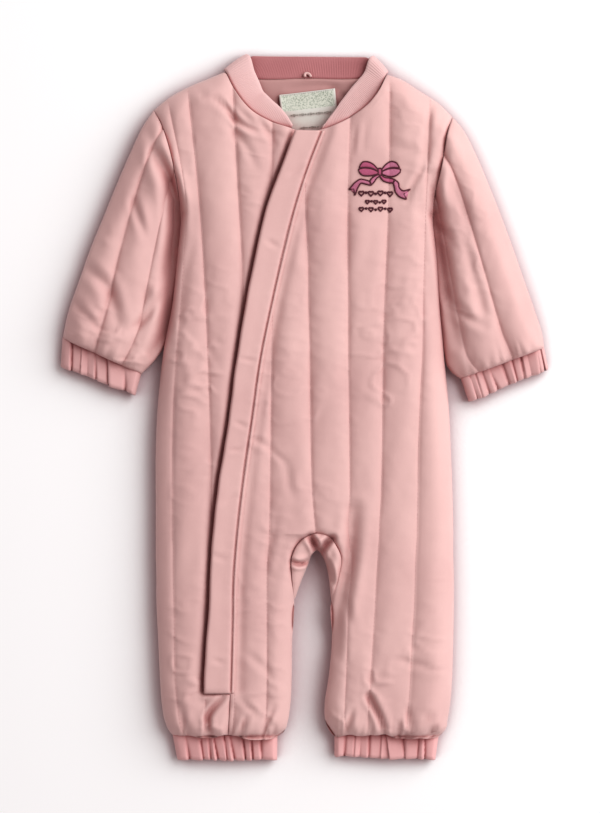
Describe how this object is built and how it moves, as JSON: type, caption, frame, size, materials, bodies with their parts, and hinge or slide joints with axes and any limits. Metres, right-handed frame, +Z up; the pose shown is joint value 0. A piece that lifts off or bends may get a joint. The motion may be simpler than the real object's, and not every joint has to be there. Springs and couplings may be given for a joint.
{
  "type": "baby snowsuit",
  "caption": "Padded, quilted one-piece baby snowsuit laid flat, with rib collar, slanting zip under a flap, crotch gusset and elastic cuffs.",
  "frame": {"origin": "under the middle of the whole garment, on the surface that it lies on", "axes": "+Z up from the surface, +Y towards the collar, +X towards the wearer's left sleeve"},
  "size_m": [0.401, 0.5798, 0.0307],
  "materials": {
    "shell": "matt",
    "rib": "ribbed knit",
    "label": "woven satin",
    "zip_tape": "woven tape",
    "slider": "satin"
  },
  "bodies": {
    "root": {"front_left": "shell", "front_right": "shell", "back": "shell", "gusset": "shell", "sleeve_left": "shell", "sleeve_right": "shell", "cuff_wrist_left": "shell", "cuff_wrist_right": "shell", "cuff_ankle_left": "shell", "cuff_ankle_right": "shell", "collar": "rib", "flap": "shell", "zip": "zip_tape", "zip_slider": "slider", "label": "label", "hanger_loop": "shell"}
  },
  "joints": []
}
